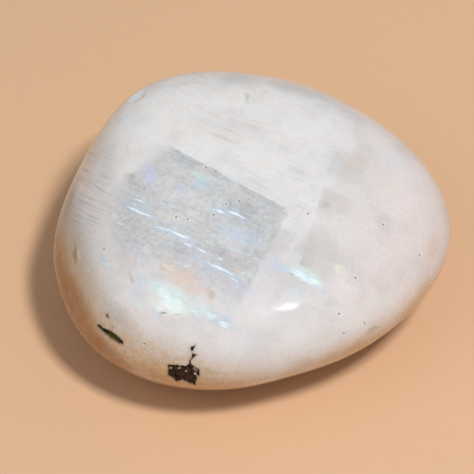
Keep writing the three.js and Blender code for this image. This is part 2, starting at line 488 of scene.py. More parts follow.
# Soft veils, by the tint that they show: where the layers flash, thin out or hold a stain, and, where marked,
# painted shade, painted warm bounce light and painted light on the rims. The flashes are the layers' schiller,
# reflected light painted into the colour.
VEILS = {
    "smoke": (
        # This and the next two: painted shade along the top rim.
        Mark((262, 79), (338, 102), 14, 0.35),
        Mark((216, 79), (266, 82), 16, 0.35),
        Mark((150, 90), (210, 82), 5, 0.14),
        Mark((118, 214), (126, 224), 4, 0.21),
        Mark((264, 252), (298, 226), 11, 0.42),
        # Painted shade on the upper left rim.
        Mark((63, 232), (74, 180), 16, 0.8),
        # Painted shade along the upper right rim.
        Mark((338, 105), (366, 126), 10, 0.24),
        Mark((290, 246), (316, 252), 9, 0.21),
        # Painted shade on the lower left flank.
        Mark((104, 300), (136, 334), 9, 0.35),
        Mark((169, 357), (184, 360), 4, 0.28),
        Mark((376, 217), (392, 229), 9, 0.14),
        Mark((340, 164), (352, 170), 5, 0.08),
        Mark((210, 277), (230, 283), 4, 0.14),
        Mark((174, 312), (186, 313), 2.2, 0.24),
    ),
    "moss": (
        Mark((364, 332), (382, 326), 3.6, 0.29),
        Mark((245.5, 92), (249, 102), 2.2, 0.26),
        # Painted shadow line along the left ridge.
        Mark((74.5, 243), (76, 262), 3.4, 0.6),
        Mark((127, 173), (134, 182), 4, 0.21),
        Mark((112, 327), (116, 331), 4, 0.21),
        Mark((200, 368), (226, 372), 4, 0.17),
        Mark((150, 168), (160, 160), 4, 0.07),
        Mark((376, 218), (390, 228), 8, 0.06),
        Mark((326, 298), (344, 306), 5, 0.06),
    ),
    "bright": (
        Mark((156, 190), (206, 204), 8, 0.29),
        Mark((154, 178), (176, 186), 6, 0.17),
        Mark((150, 220), (186, 224), 5, 0.14),
        Mark((400, 262), (424, 226), 12, 0.21),
        Mark((350, 320), (400, 296), 12, 0.42),
        Mark((376, 140), (404, 180), 12, 0.35),
        Mark((240, 316), (330, 336), 12, 0.28),
        # This and the next two: painted light on the upper left flank.
        Mark((110, 142), (94, 180), 9, 0.42),
        Mark((94, 190), (104, 232), 7, 0.35),
        Mark((101, 212), (114, 262), 10, 0.66),
        Mark((176, 190), (204, 200), 7, 0.35),
        Mark((200, 340), (280, 352), 10, 0.17),
        Mark((144, 296), (190, 310), 10, 0.28),
        Mark((214, 379), (312, 362), 9, 0.24),
    ),
    "peach": (
        Mark((157, 261), (211, 297), 9, 0.75),
        Mark((182, 279), (208, 290), 3, 0.7),
        Mark((164, 268), (172, 273), 3.5, 0.5),
        Mark((346, 155), (360, 168), 6, 0.4),
        Mark((332, 200), (346, 206), 5, 0.25),
        Mark((424, 238), (434, 258), 7, 0.35),
        Mark((124, 254), (132, 262), 6, 0.3),
        Mark((306, 211), (310, 217), 3, 0.4),
        Mark((346, 290), (356, 306), 7, 0.2),
        Mark((384, 160), (400, 200), 12, 0.15),
        Mark((204, 133), (246, 145), 2.2, 0.55),
        Mark((170, 118), (196, 128), 3, 0.3),
    ),
    "ochre": (
        Mark((131.5, 275), (134.5, 284), 2.6, 0.28),
        Mark((206, 290), (214, 299), 4, 0.24),
        Mark((209, 288.5), (213, 293), 1.6, 0.28),
        Mark((137, 187), (144, 192), 3, 0.17),
        Mark((162, 263), (166, 270), 3, 0.11),
        # Painted shade with warm bounce light on the lower left flank.
        Mark((63, 272), (82, 316), 14, 0.2),
    ),
    # Painted shade on the upper left rim.
    "parting": (Mark((62, 228), (75, 186), 9, 0.22),),
    "tan": (
        # All of these: painted warm bounce light with shade on the lower and right rims.
        Mark((398, 320), (434, 278), 15, 0.62),
        Mark((322, 360), (392, 327), 15, 0.62),
        Mark((150, 370), (216, 388), 17, 0.8),
        Mark((426, 264), (437, 238), 8, 0.2),
    ),
    "violet": (
        Mark((131, 285), (146, 298), 9, 0.5),
        Mark((146, 163), (154, 183), 6, 0.9),
        Mark((170, 184), (190, 194), 5, 0.5),
        Mark((264, 258), (286, 273), 7, 0.45),
        Mark((222, 284), (262, 294), 8, 0.4),
        Mark((176, 236), (200, 262), 7, 0.25),
        Mark((222, 228), (258, 244), 8, 0.35),
        Mark((156, 311.5), (163, 314.5), 2.2, 0.9),
        Mark((196, 317), (206, 326), 5, 0.5),
        Mark((216, 314), (236, 322), 5.5, 0.5),
        Mark((76, 196), (82, 210), 6, 0.4),
        Mark((384, 150), (410, 190), 12, 0.2),
        Mark((118, 246), (134, 252), 6, 0.25),
    ),
    "sky": (
        Mark((196, 179), (208, 185), 5.5, 0.75),
        Mark((131, 199), (148, 212), 6, 0.45),
        Mark((214, 207), (246, 220), 6, 0.4),
        Mark((220, 226), (262, 246), 10, 0.35),
        Mark((158, 228), (190, 242), 4, 0.35),
        Mark((204, 262), (236, 278), 5, 0.35),
        Mark((138, 273), (146, 284), 5, 0.4),
        Mark((206, 308), (217, 319), 5, 0.8),
        Mark((219, 319.5), (232, 325), 3.6, 0.95),
        Mark((275, 262), (290, 271), 4, 0.6),
        Mark((102, 253), (107, 270), 3.5, 0.6),
        Mark((286, 284), (304, 300), 4.5, 0.35),
        Mark((153, 308), (160, 312.5), 3, 0.6),
        Mark((280, 87), (290, 91), 3.5, 0.3),
        Mark((89, 172), (104, 144), 8, 0.12),
        Mark((240, 330), (262, 344), 8, 0.15),
        Mark((262, 312), (276, 320), 6, 0.2),
    ),
    "cream": (
        Mark((171, 310.5), (190, 314.5), 3, 0.6),
        Mark((204, 327), (210, 332), 3.2, 0.35),
        Mark((158, 212), (174, 220), 5, 0.3),
        Mark((163, 262), (176, 267.5), 1.6, 0.5),
        Mark((168, 266), (178, 272), 1.2, 0.5),
        Mark((150, 303), (159, 307), 3, 0.15),
        Mark((370, 290), (378, 297), 5, 0.35),
        Mark((78.6, 244), (79.4, 262), 1.6, 0.5),
        Mark((334, 266), (346, 271), 3.2, 0.9),
        Mark((190, 324), (194, 344), 2.6, 0.3),
        # The chip's facet: a painted highlight.
        Mark((130, 100.5), (143, 91), 2.2, 0.6),
        Mark((309, 300), (322, 308), 5, 0.25),
    ),
    "mint": (
        Mark((154, 287), (188, 304), 11, 0.95),
        Mark((180, 301), (210, 313), 7, 0.8),
        Mark((148, 283), (164, 291), 6, 0.75),
        Mark((291, 268), (323, 285), 6, 0.9),
        Mark((125, 288), (131, 300), 4.5, 0.5),
        Mark((134, 301), (144, 305), 4, 0.5),
        Mark((330, 211), (346, 219), 3.5, 0.3),
        Mark((190, 172), (208, 178), 5, 0.5),
        Mark((184, 264), (192, 268), 1.8, 0.4),
        Mark((196, 186), (206, 192), 4, 0.3),
        Mark((288, 290), (300, 304), 6, 0.3),
        Mark((348, 146), (362, 150), 4, 0.18),
    ),
    "ice": (
        Mark((152, 304), (186, 308), 7.5, 0.85),
        Mark((157, 293), (172, 301), 5, 0.7),
        Mark((216, 323), (231, 328), 2, 1),
        Mark((208, 310), (214, 316), 3, 0.6),
        Mark((291, 270.5), (322, 287.5), 3, 0.75),
        # The chip's facet: a painted highlight.
        Mark((130, 101), (143, 90.5), 4, 0.9),
        Mark((104, 262), (108, 266), 2.4, 0.4),
    ),
}
FLAKY = ("peach", "violet", "sky", "cream", "mint", "ice")  # the veils that are broken up into flakes
# Small shell-shaped bruises in the polish, seen as rings.
BRUISES = (
    Mark((111, 213.5), (118, 216.5), 3.6, 0.8),
    Mark((117, 216), (125, 219.5), 3.6, 0.9),
    Mark((114, 222), (127, 226), 2.4, 0.7),
    Mark((176, 216), (181, 222), 3.4, 0.4),
    Mark((224, 203.5), (228, 203.5), 2.6, 0.4),
)
# Where the dark needle turns olive, and where pale feldspar shows on the block's floor.
OLIVE_STRETCH = (Mark((103, 328.5), (123, 342), 3.6, 1),)
OLIVE_GLEAM = (Mark((114.5, 334.5), (121, 339), 2, 1),)
PALE_GRAINS = (
    Mark((168, 370.4), (171.6, 370), 2, 1),
    Mark((177, 369.4), (180.4, 370), 2, 1),
    Mark((184, 374), (187, 372.4), 1.2, 0.8),
    Mark((193, 369.4), (197.2, 374), 1.8, 1),
    Mark((193.2, 377.4), (196.2, 375.4), 1.6, 1),
    Mark((196.2, 377), (199, 379.4), 1.6, 1),
)
# Tiny open pores with dirt in them.
PORES = (
    (205.5, 167.2),
    (215.4, 171.0),
    (226.0, 203.5),
    (239.3, 201.0),
    (213.3, 214.6),
    (175.9, 216.9),
    (187.4, 219.1),
    (103.6, 249.0),
    (308.0, 213.7),
    (383.2, 224.5),
    (355.6, 277.9),
    (339.2, 314.0),
    (364.6, 323.6),
    (344.0, 333.6),
    (419.8, 254.9),
    (144.0, 344.0),
)

# ------------------------------------------------------------------ lights and floor

KEY_FROM = (318, 66)
KEY_DISTANCE = 300.0
KEY_SIZE = 50.0
FILL_FROM = (205, 42)
FILL_SIZE = 260.0
GLINT_PIXEL = (283, 306)
GLINT_SIZE = (28.0, 3.0)
FLOOR_SIDE = 4000.0
FIBRES_PER_METRE = 900.0
FIBRE_SHARE = 0.06  # how strongly the card's fibres show, and how dark they are
FIBRE_SHADE = 0.8
CARD_ROUGHNESS = 0.85


def linear(hex_colour):
    """An sRGB hex colour as the linear colour that Blender works in."""
    channels = [int(hex_colour[i : i + 2], 16) / 255 for i in (1, 3, 5)]
    return tuple(c / 12.92 if c <= 0.04045 else ((c + 0.055) / 1.055) ** 2.4 for c in channels)


def tint(name, hex_colour, description):
    """A colour that the user can change."""
    return bpy.props.FloatVectorProperty(
        name=name, description=description, subtype="COLOR", min=0, max=1, default=linear(hex_colour)
    )


class PebbleSettings(bpy.types.PropertyGroup):
    """Sizes and colours of the pebble."""

    milk: tint("Milk", "#dddcde", "Cloudy feldspar, which most of the stone is made of")
    # Bright also paints light onto the upper left flank, through three of the bright veils.
    bright: tint("Bright crystal", "#e0dfde", "The whitest crystal, behind the window")
    window: tint("Window", "#bbbec2", "The clear crystal, which looks grey-blue")
    deep: tint("Deep", "#949a9f", "Where a crystal is so clear that the stone's inside darkens it")
    grey: tint("Grey crystal", "#cbc5bf", "The crystal to the right of the window")
    rose: tint("Rosy end", "#d6c9c7", "The warm tinge of the right end")
    silver: tint("Silver", "#edf5fc", "Cracks and layers that mirror the light")
    ice: tint("Ice", "#f2ffff", "The brightest flash of the layers")
    mint: tint("Mint", "#cdeae6", "The green flash of the layers")
    sky: tint("Sky", "#b4cde2", "The blue flash of the layers")
    violet: tint("Violet", "#c1c7e2", "The violet flash of the layers")
    peach: tint("Peach", "#dcc3b2", "The warm flash of the layers")
    cream: tint("Cream", "#e9e3ca", "The yellow flash of the layers")
    # Ochre is the stone's own small orange spots, and painted shade with warm bounce light on the lower left
    # flank.
    ochre: tint("Ochre", "#96581f", "The most iron-stained skin")
    # Tan is painted warm bounce light near the ground, on the lower left side and on the lower and right rims.
    tan: tint("Tan", "#c9a67a", "Lightly iron-stained skin")
    # Smoke is also painted shade on the top, left and lower left rims.
    smoke: tint("Smoke", "#a9a7a4", "Where the feldspar is thin and shows the dark inside")
    # Moss is also a painted shadow line along the left ridge.
    moss: tint("Moss", "#787250", "Greenish stains")
    # Parting is also painted shade on the upper left rim.
    parting: tint("Parting", "#77777b", "Thin dark partings between layers")
    iron: tint("Iron", "#a08670", "Brown stain in the feldspar around the dark mineral")
    mineral: tint("Dark mineral", "#2a1a10", "The brown-black mineral in the pits")
    rust: tint("Rust", "#6b3a1c", "The browner grains of the dark mineral")
    olive: tint("Olive", "#58500f", "The green stretch of the needle")
    gleam: tint("Gleam", "#8f8a3a", "The brightest green on the needle")
    grain: tint("Pale grain", "#cdbfae", "Crumbs of feldspar on the dark floor")
    roughness: bpy.props.FloatProperty(
        name="Roughness", description="How soft the polish looks", min=0, max=1, default=0.11, subtype="FACTOR"
    )
    milkiness: bpy.props.FloatProperty(
        name="Milkiness", description="How much light passes under the skin", min=0, max=1, default=0.35,
        subtype="FACTOR",
    )
    light_depth: bpy.props.FloatProperty(
        name="Light depth", description="How far light travels inside the stone", min=0, default=0.0025,
        unit="LENGTH",
    )
    twin_spacing: bpy.props.FloatProperty(
        name="Twin spacing", description="The distance between two twin layers", min=0.00005, default=0.00016,
        unit="LENGTH",
    )
    twin_contrast: bpy.props.FloatProperty(
        name="Twin contrast", description="How strongly the twin layers show", min=0, max=1, default=0.34,
        subtype="FACTOR",
    )


class StageSettings(bpy.types.PropertyGroup):
    """The floor and the light."""

    floor: tint("Floor", "#dab28e", "Matt card that the stone lies on")
    sky: tint("Surroundings", "#f4f3f2", "Soft light from all around")
    key_power: bpy.props.FloatProperty(
        name="Key power", description="The main light's power", min=0, default=0.7, unit="POWER"
    )
    fill_power: bpy.props.FloatProperty(
        name="Fill power", description="The soft light from the left", min=0, default=0.14, unit="POWER"
    )
    glint_power: bpy.props.FloatProperty(
        name="Glint power", description="The light that makes the bright streak", min=0, default=0.032,
        unit="POWER",
    )
    sky_strength: bpy.props.FloatProperty(
        name="Surroundings strength", description="How bright the surroundings are", min=0, default=0.33
    )


# ------------------------------------------------------------------ the stone's form


def unit(bearing, tilt):
    """The unit vector with a bearing and a tilt in degrees."""
    around, up = math.radians(bearing), math.radians(tilt)
    level = math.cos(up)
    return np.array((level * math.cos(around), level * math.sin(around), math.sin(up)))


FLAT_FACINGS = np.array([unit(bearing, tilt) for bearing, tilt, _ in WORN_FLATS])
FLAT_REACHES = np.array([reach for _, _, reach in WORN_FLATS])


def skin_reach(directions):
    """How far the skin is from the heart along each unit vector: the flats, blended into each other."""
    shares = np.maximum(directions @ FLAT_FACINGS.T, 0) / FLAT_REACHES
    reach = (shares**EDGE_TIGHTNESS).sum(axis=1) ** (-1 / EDGE_TIGHTNESS)
    for bearing, tilt, wavelength, height in SWELLS:
        wave = unit(bearing, tilt) * (2 * math.pi / wavelength)
        reach = reach + height * np.sin((directions @ wave) * reach)
    return reach


def skin_facing(toward):
    """The way that the blended flats face along a unit vector from the heart."""
    shares = np.maximum(FLAT_FACINGS @ toward, 0) / FLAT_REACHES
    facing = (shares ** (EDGE_TIGHTNESS - 1) / FLAT_REACHES) @ FLAT_FACINGS
    return facing / np.linalg.norm(facing)


def skin_place(bearing, tilt):
    """A place on the skin, seen from the heart: its origin, and the ways right, up along the skin and out."""
    toward = unit(bearing, tilt)
    out = skin_facing(toward)
    right = np.cross((0, 0, 1), out)
    right /= np.linalg.norm(right)
    origin = toward * skin_reach(toward[None])[0]
    return origin, np.array((right, np.cross(out, right), out))


def smooth_step(share):
    """0 below 0, 1 above 1, and a smooth rise between."""
    share = np.clip(share, 0, 1)
    return share * share * (3 - 2 * share)


def outline_distance(points, outline):
    """How far each point lies outside a closed outline, or, as a negative number, inside it."""
    corners = np.array(outline, float)
    nearest = np.full(len(points), np.inf)
    inside = np.zeros(len(points), bool)
    for start, end in zip(corners, np.roll(corners, -1, axis=0)):
        edge = end - start
        offset = points - start
        along = np.clip(offset @ edge / (edge @ edge), 0, 1)
        nearest = np.minimum(nearest, np.linalg.norm(offset - along[:, None] * edge, axis=1))
        slope = edge[0] / edge[1] if edge[1] else 0.0
        crosses = (start[1] > points[:, 1]) != (end[1] > points[:, 1])
        inside ^= crosses & (offset[:, 0] < slope * offset[:, 1])
    return np.where(inside, -nearest, nearest)


def mineral_edge(points, pit):
    """How far each point lies outside a pit's ragged rim, or, as a negative number, inside it."""
    origin, ways = skin_place(*pit.place)
    near = np.linalg.norm(points - origin, axis=1) < NEAR_PIT
    edge = np.full(len(points), FAR_AWAY)
    bites = [noise.noise_vector(Vector(point) / RAGGED_SIZE) for point in points[near]]
    ragged = points[near] + RAGGED_DEPTH * np.array(bites).reshape(-1, 3)
    edge[near] = outline_distance((ragged - origin) @ ways[:2].T, pit.outline)
    return edge


def cleavage_relief(points):
    """How much deeper or higher a broken floor lies at each point: flat faces, each with its own slope."""
    relief = np.empty(len(points))
    for i, point in enumerate(points):
        centre = noise.voronoi(Vector(point) / CLEAVAGE_SIZE)[1][0]
        chance = noise.cell_vector(centre * CHANCE_STEP) - Vector((0.5, 0.5, 0.5))
        slope = (Vector(point) - centre * CLEAVAGE_SIZE).dot(chance)
        relief[i] = CLEAVAGE_SLOPE * slope + CLEAVAGE_STEP * chance.x
    return relief


def stone_reach(directions, pores):
    """How far the finished surface is from the heart, with its chip, pits, pores and foot."""
    reach = skin_reach(directions)
    points = directions * reach[:, None]
    for pit in PITS:
        edge = mineral_edge(points, pit)
        within = edge < 0
        depth = np.full(within.sum(), pit.depth)
        if pit.broken:
            depth += cleavage_relief(points[within])
        reach[within] -= depth * smooth_step(-edge[within] / PIT_WALL)
    for pore in pores:
        inward = (PORE_RADIUS - np.linalg.norm(points - pore, axis=1)) / PORE_RADIUS
        reach -= PORE_DEPTH * smooth_step(inward * PORE_STEEPNESS)
    ball = chip_ball()
    ahead = directions @ ball
    spread = ahead**2 - ball @ ball + CHIP_BALL_RADIUS**2
    scooped = ahead - np.sqrt(np.maximum(spread, 0))
    reach = np.where((spread > 0) & (scooped > 0), np.minimum(reach, scooped), reach)
    ground = np.where(directions[:, 2] < 0, HEART_HEIGHT / np.maximum(-directions[:, 2], 1e-9), np.inf)
    return np.minimum(reach, ground)


def chip_ball():
    """The middle of the ball that scooped the chip, seen from the heart."""
    origin, ways = skin_place(*CHIP_PLACE)
    return origin + ways[2] * (CHIP_BALL_RADIUS - CHIP_DEPTH)


def sight_lines(pixels):
    """The camera's place, and the unit vector from it through each frame pixel."""
    lift = math.radians(CAMERA_ELEVATION)
    back = np.array((0, -math.cos(lift), math.sin(lift)))
    up = np.array((0, math.sin(lift), math.cos(lift)))
    offset = (np.array(pixels, float) - FRAME_PIXELS / 2) * PIXEL
    lines = np.outer(offset[:, 0], (1, 0, 0)) - np.outer(offset[:, 1], up) - CAMERA_DISTANCE * back
    camera = np.array(CAMERA_TARGET) + CAMERA_DISTANCE * back
    return camera, lines / np.linalg.norm(lines, axis=1, keepdims=True)


def skin_hits(pixels, heart):
    """Where the line of sight through each frame pixel meets the skin, seen from the heart."""
    camera, lines = sight_lines(pixels)

    def within(distances):
        points = camera - heart + lines * distances[:, None]
        away = np.linalg.norm(points, axis=1)
        return away < skin_reach(points / away[:, None])

    outside = np.full(len(lines), CAMERA_DISTANCE - SIGHT_MARGIN)
    for _ in range(int(2 * SIGHT_MARGIN / SIGHT_STEP)):
        outside = np.where(within(outside + SIGHT_STEP), outside, outside + SIGHT_STEP)
    missed = outside > CAMERA_DISTANCE + SIGHT_MARGIN - SIGHT_STEP
    if missed.any():
        raise ValueError(f"these pixels lie beside the stone: {np.array(pixels)[missed].tolist()}")
    inside = outside + SIGHT_STEP
    for _ in range(SIGHT_HALVINGS):
        middle = (outside + inside) / 2
        hit = within(middle)
        inside = np.where(hit, middle, inside)
        outside = np.where(hit, outside, middle)
    return camera - heart + lines * inside[:, None]


# ------------------------------------------------------------------ the stone's mesh


def corner_directions(ball):
    """The unit vector from the heart to each corner of a mesh around it."""
    corners = np.array([corner.co[:] for corner in ball.verts])
    return corners / np.linalg.norm(corners, axis=1, keepdims=True)


def wanted_lengths(directions, pores):
    """How long the mesh's edges may be at each corner: short at rims and longer away from them."""
    points = directions * skin_reach(directions)[:, None]
    closeness = np.full(len(points), FAR_AWAY)
    for pit in PITS:
        edge = mineral_edge(points, pit)
        closeness = np.minimum(closeness, np.where(edge < 0, np.minimum(-edge, FLOOR_CLOSENESS), edge))
    for pore in pores:
        closeness = np.minimum(closeness, np.abs(np.linalg.norm(points - pore, axis=1) - PORE_RADIUS / 2))
    rim_slope = math.sqrt(2 * CHIP_DEPTH / CHIP_BALL_RADIUS)
    chip_rim = np.abs(np.linalg.norm(points - chip_ball(), axis=1) - CHIP_BALL_RADIUS) / rim_slope
    return FINEST_EDGE + EDGE_GROWTH * np.minimum(closeness, chip_rim)


def divide_near_rims(ball, pores):
    """Divides the mesh's edges until none is much longer than is wanted where it lies."""
    for _ in range(SPLIT_ROUNDS):
        directions = corner_directions(ball)
        points = directions * skin_reach(directions)[:, None]
        wanted = wanted_lengths(directions, pores)
        ends = np.array([[corner.index for corner in edge.verts] for edge in ball.edges])
        lengths = np.linalg.norm(points[ends[:, 0]] - points[ends[:, 1]], axis=1)
        too_long = lengths > SPLIT_RATIO * wanted[ends].min(axis=1)
        if not too_long.any():
            return
        split = [edge for edge, long in zip(ball.edges, too_long) if long]
        bmesh.ops.subdivide_edges(ball, edges=split, cuts=1)
        bmesh.ops.triangulate(ball, faces=[face for face in ball.faces if len(face.verts) > 3])
        for corner in ball.verts:
            corner.co.normalize()
        ball.verts.index_update()


def heart_in_frame(directions):
    """Where the heart lies in the model's frame, in millimetres, so that the stone fills the solid model's box."""
    skin = directions * skin_reach(directions)[:, None]
    low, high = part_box(NODE)
    middle = (np.array(low) + np.array(high)) / 2 / METRES_PER_MM
    heart = middle - (skin.min(axis=0) + skin.max(axis=0)) / 2
    heart[2] = HEART_HEIGHT
    return heart


def write_values(mesh, name, values):
    """Keeps a number for each of the mesh's corners, for its material to read."""
    attribute = mesh.attributes.new(name, "FLOAT", "POINT")
    attribute.data.foreach_set("value", values.astype(np.float32))


def pebble_mesh():
    """The stone's mesh in the model's frame, and where its heart lies in it."""
    noise.seed_set(NOISE_SEED)
    ball = bmesh.new()
    bmesh.ops.create_icosphere(ball, subdivisions=SPHERE_DETAIL, radius=1)
    heart = heart_in_frame(corner_directions(ball))
    pores = skin_hits(PORES, heart)
    divide_near_rims(ball, pores)
    directions = corner_directions(ball)
    mesh = bpy.data.meshes.new("Pebble")
    ball.to_mesh(mesh)
    ball.free()
    places = heart + directions * stone_reach(directions, pores)[:, None]
    mesh.vertices.foreach_set("co", (places * METRES_PER_MM).ravel())
    skin = directions * skin_reach(directions)[:, None]
    edges = np.min([mineral_edge(skin, pit) for pit in PITS], axis=0)
    write_values(mesh, "mineral_edge", edges)
    write_values(mesh, "pore_middle", np.min([np.linalg.norm(skin - pore, axis=1) for pore in pores], axis=0))
    on_mineral = edges < -PIT_WALL / 2
    mesh.polygons.foreach_set(
        "use_smooth", [not all(on_mineral[corner] for corner in face.vertices) for face in mesh.polygons]
    )
    mesh.update()
    return mesh, heart


# ------------------------------------------------------------------ the stone's material


def add_node(tree, kind, inputs=None, **settings):
    """Adds a node. Its inputs are given by name or number, each as a value or as the socket that feeds it."""
    node = tree.nodes.new(kind)
    for name, value in settings.items():
        setattr(node, name, value)
    for name, value in (inputs or {}).items():
        socket = node.inputs[name]
        if isinstance(value, bpy.types.NodeSocket):
            tree.links.new(value, socket)
        elif socket.type == "RGBA" and len(value) == 3:
            socket.default_value = (*value, 1)
        else:
            socket.default_value = value
    return node


def new_material(name):
    """An empty material, its node tree and its output's surface socket."""
    material = bpy.data.materials.new(name)
    material.use_nodes = True
    material.node_tree.nodes.clear()
    output = add_node(material.node_tree, "ShaderNodeOutputMaterial")
    return material, material.node_tree, output.inputs["Surface"]


def combined(tree, operation, masks):
    """Several masks made into one: the highest of them with MAXIMUM, or their product with MULTIPLY."""
    joined = masks[0]
    for mask in masks[1:]:
        joined = add_node(tree, "ShaderNodeMath", {0: joined, 1: mask}, operation=operation).outputs[0]
    return joined


def patches(tree, place, size, clear, full, most=1.0):
    """Patches of noise a given size, in mm: 0 where it is under clear, and most where it is over full."""
    cloud = add_node(tree, "ShaderNodeTexNoise", {"Vector": place, "Scale": 1 / size, "Detail": 3.0})
    rise = {"Value": cloud.outputs["Fac"], "From Min": clear, "From Max": full, "To Max": most}
    return add_node(tree, "ShaderNodeMapRange", rise).outputs["Result"]


def wavering(tree, place, size, reach, detail=3.0):
    """The same place, moved to and fro over a reach by noise of a given size, both in mm."""
    cloud = add_node(tree, "ShaderNodeTexNoise", {"Vector": place, "Scale": 1 / size, "Detail": detail})
    centred = {0: cloud.outputs["Color"], 1: (0.5, 0.5, 0.5)}
    shift = add_node(tree, "ShaderNodeVectorMath", centred, operation="SUBTRACT").outputs[0]
    moved = {0: shift, 1: (reach, reach, reach), 2: place}
    return add_node(tree, "ShaderNodeVectorMath", moved, operation="MULTIPLY_ADD").outputs[0]


def along_sheets(tree, place, heart, spacing, length):
    """Coordinates that count the twin sheets, a spacing apart, and lengths along them, both in mm."""
    line = skin_hits(TWIN_LINE, heart)
    along = (line[1] - line[0]) / np.linalg.norm(line[1] - line[0])
    across = np.cross(-sight_lines(TWIN_LINE)[1][0], along)
    across /= np.linalg.norm(across)
    turn = Matrix((across, along, np.cross(across, along))).transposed()
    lens = {"Vector": place, "Rotation": turn.to_euler(), "Scale": (spacing, length, length)}
    return add_node(tree, "ShaderNodeMapping", lens, vector_type="TEXTURE").outputs[0]


def layered(tree, ground, layers):
    """A colour with others laid over it in turn, each as strongly as its share says."""
    for colour, share in layers:
        mix = add_node(tree, "ShaderNodeMix", {0: share, 6: ground, 7: colour}, data_type="RGBA")
        ground = mix.outputs[2]
    return ground


def crystal_mask(tree, place, sides):
    """1 inside a crystal and 0 outside its flat sides, each of which runs straight into the stone."""
    fades = []
    for first, second, softness in sides:
        camera, sight = sight_lines((first, second))
        inward = np.cross(sight[1], sight[0])
        inward /= np.linalg.norm(inward)
        depth = add_node(tree, "ShaderNodeVectorMath", {0: place, 1: inward}, operation="DOT_PRODUCT")
        side = float(inward @ camera)
        fade = add_node(
            tree,
            "ShaderNodeMapRange",
            {"Value": depth.outputs["Value"], "From Min": side - softness / 2, "From Max": side + softness / 2},
            interpolation_type="SMOOTHSTEP",
        )
        fades.append(fade.outputs["Result"])
    return combined(tree, "MULTIPLY", fades)


def mark_glow(tree, place, mark, heart, thickness, reach):
    """1 in the middle of a mark, falling evenly to 0 where it ends, a reach times its size away."""
    ends = skin_hits((mark.start, mark.end), heart) + heart
    middle = ends.mean(axis=0)
    out = skin_facing((middle - heart) / np.linalg.norm(middle - heart))
    along = (ends[1] - ends[0]) / np.linalg.norm(ends[1] - ends[0])
    across = np.cross(out, along)
    across /= np.linalg.norm(across)
    turn = Matrix((along, across, np.cross(along, across))).transposed()
    half_sizes = np.array((np.linalg.norm(ends[1] - ends[0]) / 2, mark.half_width * PIXEL, thickness))
    lens = {"Vector": place, "Location": middle, "Rotation": turn.to_euler(), "Scale": half_sizes * reach}
    lens = add_node(tree, "ShaderNodeMapping", lens, vector_type="TEXTURE")
    glow = add_node(tree, "ShaderNodeTexGradient", {"Vector": lens.outputs[0]}, gradient_type="SPHERICAL")
    return glow.outputs["Fac"]


def mark_level(tree, place, marks, heart, thickness):
    """How deep in a mark a place is: its strength in the middle, less towards its rim, and below 0 in its halo."""
    levels = []
    for mark in marks:
        glow = mark_glow(tree, place, mark, heart, thickness, MARK_HALO)
        rise = {"Value": glow, "From Min": 1 - 1 / MARK_HALO, "To Min": mark.strength - 1, "To Max": mark.strength}
        levels.append(add_node(tree, "ShaderNodeMapRange", rise, clamp=False).outputs["Result"])
    return combined(tree, "MAXIMUM", levels)


def soft_share(tree, place, marks, heart):
    """How strongly soft marks show: evenly over the middle of each, and fading out across its rim."""
    shares = []
    for mark in marks:
        glow = mark_glow(tree, place, mark, heart, DEEP, SOFT_SPREAD)
        rise = {"Value": glow, "From Max": SOFT_FADE, "To Max": mark.strength}
        share = add_node(tree, "ShaderNodeMapRange", rise, interpolation_type="SMOOTHSTEP")
        shares.append(share.outputs["Result"])
    return combined(tree, "MAXIMUM", shares)


def crystal_layers(tree, place, heart, settings):
    """The crystals that the stone is grown from, with the places where they are clear."""
    broken = patches(tree, along_sheets(tree, place, heart, *CLEAR_SHEETS), *CLEAR_PATCHES)
    ragged = {0: broken, 1: CLEAR_ADDED, 2: CLEAR_LEAST}
    ragged = add_node(tree, "ShaderNodeMath", ragged, operation="MULTIPLY_ADD").outputs[0]
    layers = []
    for colour, crystal in (
        (settings.rose, ROSY_END),
        (settings.bright, BRIGHT_BLOCK),
        (settings.grey, GREY_BLOCK),
        (settings.window, CLEAR_WINDOW),
        *((settings.smoke, patch) for patch in GREY_PATCHES),
    ):
        mask = crystal_mask(tree, place, crystal.sides)
        layers.append((colour, combined(tree, "MULTIPLY", (mask, crystal.share))))
        if crystal.depths:
            clear = soft_share(tree, place, crystal.depths, heart)
            layers.append((settings.deep, combined(tree, "MULTIPLY", (mask, clear, ragged))))
    return layers


def mottle_layers(tree, place, heart, settings, mottles):
    """Noise of several tints and sizes, some of it drawn out along the twin sheets."""
    layers = []
    for mottle in mottles:
        where = along_sheets(tree, place, heart, *mottle.sheets) if mottle.sheets else place
        mask = patches(tree, where, mottle.size, mottle.start, mottle.full, mottle.most)
        layers.append((getattr(settings, mottle.tint), mask))
    return layers


def window_layers(tree, place, heart, settings):
    """The window's mottle, its fine bright and dark layers, and faint flashes of three colours along them."""
    flakes = along_sheets(tree, place, heart, *FLASH_SHEETS)
    cloud = add_node(tree, "ShaderNodeTexNoise", {"Vector": flakes, "Scale": 1.0, "Detail": 2.0})
    chances = add_node(tree, "ShaderNodeSeparateColor", {0: cloud.outputs["Color"]}).outputs
    layers = mottle_layers(tree, place, heart, settings, WINDOW_MOTTLE)
    for chance, colour in zip(chances, (settings.violet, settings.mint, settings.peach)):
        rise = {"Value": chance, "From Min": FLASH_START, "From Max": FLASH_FULL, "To Max": FLASH_SHARE}
        layers.append((colour, add_node(tree, "ShaderNodeMapRange", rise).outputs["Result"]))
    window = crystal_mask(tree, place, CLEAR_WINDOW.sides)
    return [(colour, combined(tree, "MULTIPLY", (window, mask))) for colour, mask in layers]


